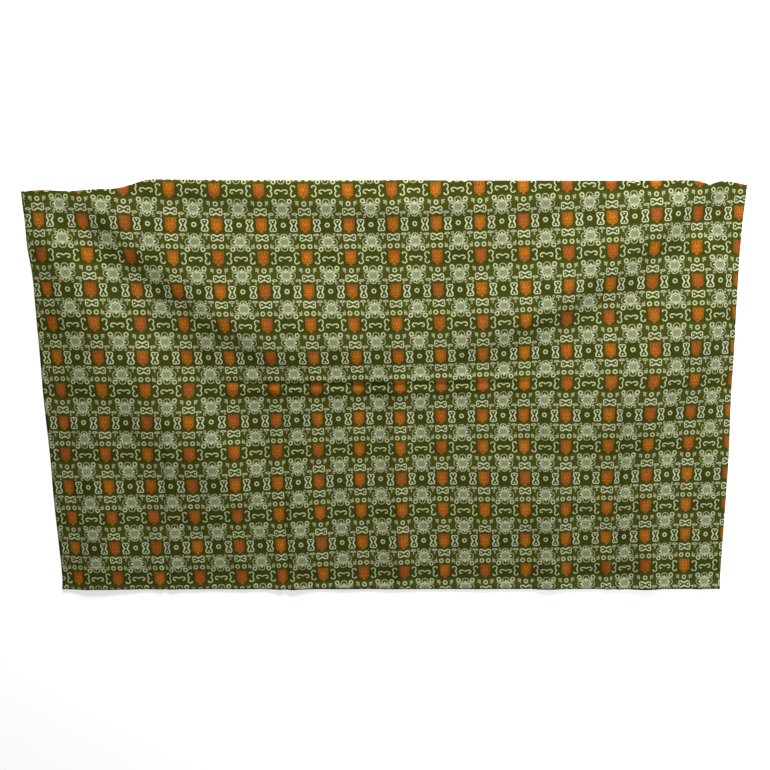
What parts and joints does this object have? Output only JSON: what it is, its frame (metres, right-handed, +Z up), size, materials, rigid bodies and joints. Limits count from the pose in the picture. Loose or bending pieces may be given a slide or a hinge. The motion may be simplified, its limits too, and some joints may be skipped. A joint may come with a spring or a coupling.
{
  "type": "longyi sarong",
  "caption": "Rectangle of printed cotton worn wrapped as a long skirt, opened out flat in one layer, with soft diagonal folds running down from its top corners.",
  "frame": {"origin": "on the surface the cloth lies on, under the middle of its box", "axes": "+X along the cloth's width, +Y towards its top edge, +Z up off the surface through the cloth"},
  "size_m": [1.858, 1.1001, 0.0307],
  "materials": {
    "printed_cotton": "matte plain weave, all-over print in cream line, grey-green and orange on olive"
  },
  "bodies": {
    "root": {"cloth_panel": "printed_cotton"}
  },
  "joints": []
}
